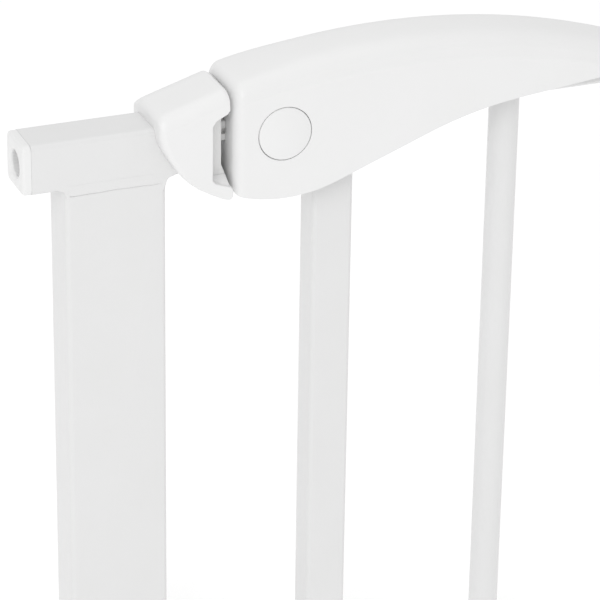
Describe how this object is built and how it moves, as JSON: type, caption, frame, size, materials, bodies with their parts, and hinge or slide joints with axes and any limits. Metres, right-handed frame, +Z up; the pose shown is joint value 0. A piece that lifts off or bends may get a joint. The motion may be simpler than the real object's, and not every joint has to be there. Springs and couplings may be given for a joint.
{
  "type": "stair gate latch",
  "caption": "Latch end of a metal stair gate: post with stub bar and moulded catch, and a curved handle whose squeeze buttons draw back a sprung bolt.",
  "frame": {"origin": "centre of the stub bar where its tube meets the end cap, inside the bore for the pressure spindle", "axes": "+X along the stub bar towards the gate, +Y through the gate away from the person who opens it, +Z up along the tubes"},
  "size_m": [0.2675, 0.0364, 0.284],
  "materials": {
    "white_powder_coat": "satin powder coat",
    "white_moulding": "satin moulded plastic",
    "white_nylon": "matt moulded plastic",
    "grey_nylon": "matt moulded plastic",
    "bolt_nylon": "smooth moulded plastic, slightly waxy",
    "zinc_plated_steel": "bright zinc plating"
  },
  "bodies": {
    "frame": {"post": "white_powder_coat", "stub_bar": "white_powder_coat", "post_weld": "white_powder_coat", "end_cap": "white_moulding", "spindle_nut": "zinc_plated_steel", "catch_body": "white_moulding", "strike_insert": "white_nylon", "catch_screw": "zinc_plated_steel"},
    "gate": {"gate_stile": "white_powder_coat", "gate_rail": "white_powder_coat", "round_bar": "white_powder_coat", "gate_welds": "white_powder_coat", "handle_shell": "white_moulding", "underside_cover": "white_nylon", "handle_screws": "zinc_plated_steel", "bolt_housing": "grey_nylon", "housing_lid": "grey_nylon", "housing_screws": "zinc_plated_steel", "bolt_spring": "zinc_plated_steel"},
    "bolt": {"latch_bolt": "bolt_nylon"},
    "front_button": {"front_plunger": "white_nylon", "front_button_cap": "white_moulding"},
    "rear_button": {"rear_plunger": "white_nylon", "rear_button_cap": "white_moulding"}
  },
  "joints": [
    {"name": "gate_swing", "type": "hinge", "parent": "frame", "child": "gate", "pos_m": [0.7, 0, 0], "axis": [0, 0, 1], "range_deg": [-90, 90]},
    {"name": "front_button_press", "type": "slide", "parent": "gate", "child": "front_button", "axis": [0, 1, 0], "range_m": [0, 0.004]},
    {"name": "rear_button_press", "type": "slide", "parent": "gate", "child": "rear_button", "axis": [0, -1, 0], "range_m": [0, 0.004]},
    {"name": "bolt_slide", "type": "slide", "parent": "gate", "child": "bolt", "axis": [1, 0, 0], "range_m": [0, 0.008], "stiffness_N_per_m": 350, "springref_m": -0.01, "deforming": ["bolt_spring"]}
  ],
  "couplings": [
    {"joint": "rear_button_press", "follows": "front_button_press", "ratio": 1},
    {"joint": "bolt_slide", "follows": "front_button_press", "ratio": 2}
  ]
}
